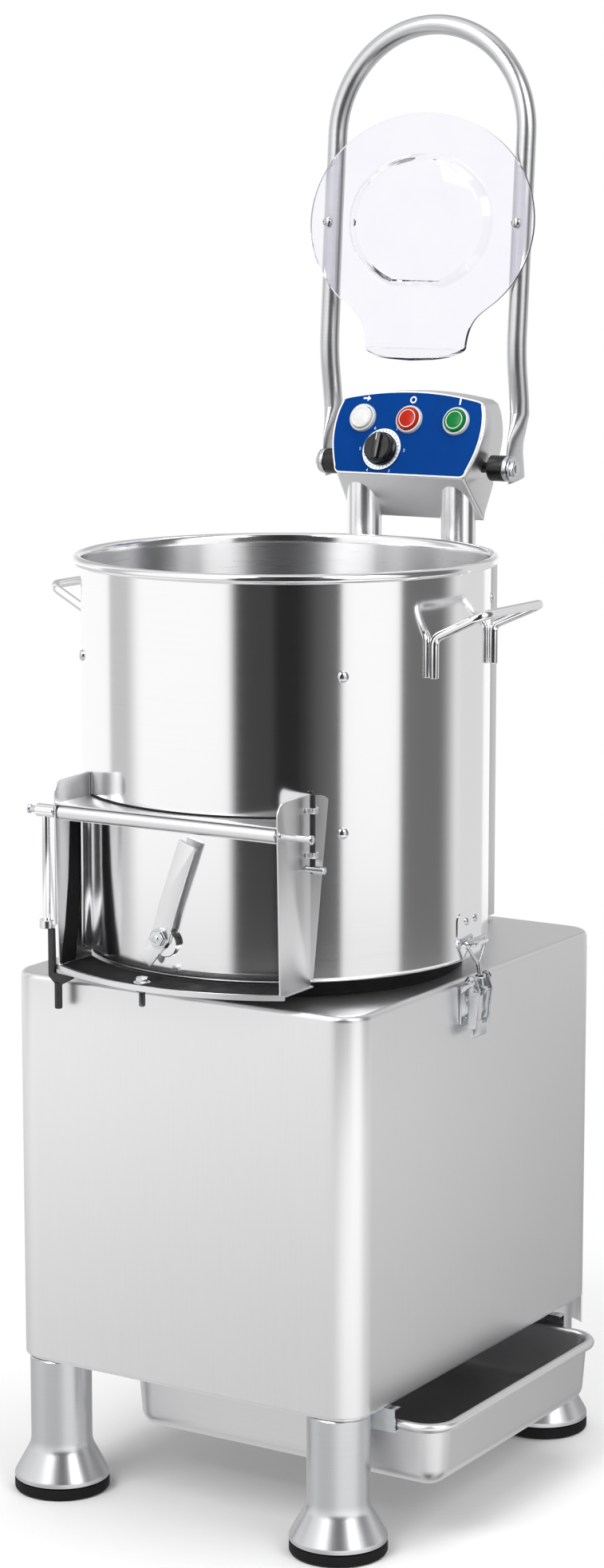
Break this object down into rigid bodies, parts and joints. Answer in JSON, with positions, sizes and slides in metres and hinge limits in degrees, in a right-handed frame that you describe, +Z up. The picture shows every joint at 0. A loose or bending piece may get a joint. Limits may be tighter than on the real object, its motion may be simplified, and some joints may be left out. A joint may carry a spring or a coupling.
{
  "type": "potato peeler machine",
  "caption": "Floor-standing potato peeler: steel drum with abrasive disc, discharge door, cabinet on legs, peel tray, control panel and see-through lid on a tube frame.",
  "frame": {"origin": "on the floor under the middle of the machine's bounding box", "axes": "+Z up, the discharge door faces -Y, the peel tray slides out to +X"},
  "size_m": [0.4809, 0.5293, 1.3853],
  "materials": {
    "satin_stainless": "satin",
    "polished_stainless": "polished",
    "zinc_plated_steel": "zinc plated",
    "cast_iron": "dark painted",
    "satin_aluminium": "satin",
    "black_rubber": "matte",
    "abrasive_grit": "coarse grit in resin",
    "black_plastic": "semi-gloss",
    "blue_panel": "printed",
    "red_plastic": "gloss",
    "green_plastic": "gloss",
    "white_plastic": "gloss",
    "clear_polycarbonate": "clear",
    "dial_aluminium": "satin"
  },
  "bodies": {
    "base": {"cabinet_shell": "satin_stainless", "back_panel": "satin_stainless", "base_frame": "satin_stainless", "leg_front_left": "satin_aluminium", "leg_front_right": "satin_aluminium", "leg_back_left": "satin_aluminium", "leg_back_right": "satin_aluminium", "foot_front_left": "black_rubber", "foot_front_right": "black_rubber", "foot_back_left": "black_rubber", "foot_back_right": "black_rubber", "tray_rail_front": "zinc_plated_steel", "tray_rail_back": "zinc_plated_steel", "cable_gland": "black_plastic", "peel_duct": "satin_stainless", "motor": "cast_iron", "motor_bracket": "zinc_plated_steel", "drive_belt": "black_rubber", "bearing_housing": "cast_iron", "bearing_upper": "zinc_plated_steel", "bearing_lower": "zinc_plated_steel", "column_cover": "satin_stainless", "drum_seat": "satin_stainless", "drum": "polished_stainless", "drum_liner": "abrasive_grit", "drum_handle_left": "polished_stainless", "drum_handle_right": "polished_stainless", "chute_frame": "satin_stainless", "hinge_rod": "zinc_plated_steel", "shelf_bolt": "zinc_plated_steel", "latch_base_left": "zinc_plated_steel", "latch_base_right": "zinc_plated_steel", "column_left": "polished_stainless", "column_right": "polished_stainless", "control_box": "satin_stainless", "panel_plate": "blue_panel", "timer_dial": "dial_aluminium", "pivot_pin_left": "black_plastic", "pivot_pin_right": "black_plastic"},
    "tray": {"peel_tray": "satin_stainless"},
    "spindle": {"main_shaft": "zinc_plated_steel", "main_pulley": "cast_iron", "peeling_disc": "abrasive_grit", "disc_nut": "zinc_plated_steel"},
    "motor_drive": {"motor_pulley": "zinc_plated_steel"},
    "door": {"discharge_door": "polished_stainless", "lever_bolt": "zinc_plated_steel"},
    "door_lever": {"door_lever": "zinc_plated_steel"},
    "tie_rod": {"tie_rod": "zinc_plated_steel"},
    "lock_pin": {"lock_pin": "zinc_plated_steel"},
    "latch_lever_left": {"latch_lever_left": "zinc_plated_steel"},
    "latch_lever_right": {"latch_lever_right": "zinc_plated_steel"},
    "latch_loop_left": {"latch_loop_left": "zinc_plated_steel"},
    "latch_loop_right": {"latch_loop_right": "zinc_plated_steel"},
    "button_start": {"button_start": "green_plastic"},
    "button_stop": {"button_stop": "red_plastic"},
    "button_out": {"button_out": "white_plastic"},
    "timer_knob": {"timer_knob": "black_plastic"},
    "lid": {"lid_frame": "polished_stainless", "lid": "clear_polycarbonate"}
  },
  "joints": [
    {"name": "lid_hinge", "type": "hinge", "parent": "base", "child": "lid", "pos_m": [0, 0.20795, 0.9525], "axis": [1, 0, 0], "range_deg": [0, 100]},
    {"name": "start_press", "type": "slide", "parent": "base", "child": "button_start", "axis": [0, 0.932, -0.3624], "range_m": [0, 0.003], "stiffness_N_per_m": 300},
    {"name": "stop_press", "type": "slide", "parent": "base", "child": "button_stop", "axis": [0, 0.932, -0.3624], "range_m": [0, 0.003], "stiffness_N_per_m": 300},
    {"name": "out_press", "type": "slide", "parent": "base", "child": "button_out", "axis": [0, 0.932, -0.3624], "range_m": [0, 0.003], "stiffness_N_per_m": 300},
    {"name": "timer_turn", "type": "hinge", "parent": "base", "child": "timer_knob", "pos_m": [-0.0235, 0.1797, 0.96864], "axis": [0, 0.932, -0.3624], "range_deg": [0, 300]},
    {"name": "door_hinge", "type": "hinge", "parent": "base", "child": "door", "pos_m": [0, -0.22955, 0.661], "axis": [-1, 0, 0], "range_deg": [0, 80]},
    {"name": "door_lever_turn", "type": "hinge", "parent": "door", "child": "door_lever", "pos_m": [-0.007, -0.23065, 0.557], "axis": [0, 1, 0], "range_deg": [0, 70]},
    {"name": "spindle_turn", "type": "hinge", "parent": "base", "child": "spindle", "pos_m": [0, -0.03155, 0.5], "axis": [0, 0, 1], "continuous": true},
    {"name": "motor_turn", "type": "hinge", "parent": "base", "child": "motor_drive", "pos_m": [0, 0.15845, 0.3], "axis": [0, 0, 1], "continuous": true},
    {"name": "tray_slide", "type": "slide", "parent": "base", "child": "tray", "axis": [1, 0, 0], "range_m": [0, 0.24]},
    {"name": "tie_swing", "type": "hinge", "parent": "base", "child": "tie_rod", "pos_m": [-0.133, -0.22955, 0.661], "axis": [-1, 0, 0], "range_deg": [0, 60]},
    {"name": "lock_pin_lift", "type": "slide", "parent": "base", "child": "lock_pin", "axis": [0, 0, 1], "range_m": [0, 0.007]},
    {"name": "latch_lever_right_turn", "type": "hinge", "parent": "base", "child": "latch_lever_right", "pos_m": [0.1985, -0.01495, 0.503], "axis": [0, -1, 0], "range_deg": [0, 150]},
    {"name": "latch_lever_left_turn", "type": "hinge", "parent": "base", "child": "latch_lever_left", "pos_m": [-0.1985, -0.01495, 0.503], "axis": [0, 1, 0], "range_deg": [0, 150]},
    {"name": "latch_loop_right_turn", "type": "hinge", "parent": "latch_lever_right", "child": "latch_loop_right", "pos_m": [0.20226, -0.01495, 0.49266], "axis": [0, -1, 0], "range_deg": [-175, 0]},
    {"name": "latch_loop_left_turn", "type": "hinge", "parent": "latch_lever_left", "child": "latch_loop_left", "pos_m": [-0.20226, -0.01495, 0.49266], "axis": [0, 1, 0], "range_deg": [-175, 0]}
  ],
  "couplings": [
    {"joint": "motor_turn", "follows": "spindle_turn", "ratio": 2.7143},
    {"joint": "latch_loop_right_turn", "follows": "latch_lever_right_turn", "ratio": -1.15},
    {"joint": "latch_loop_left_turn", "follows": "latch_lever_left_turn", "ratio": -1.15}
  ]
}
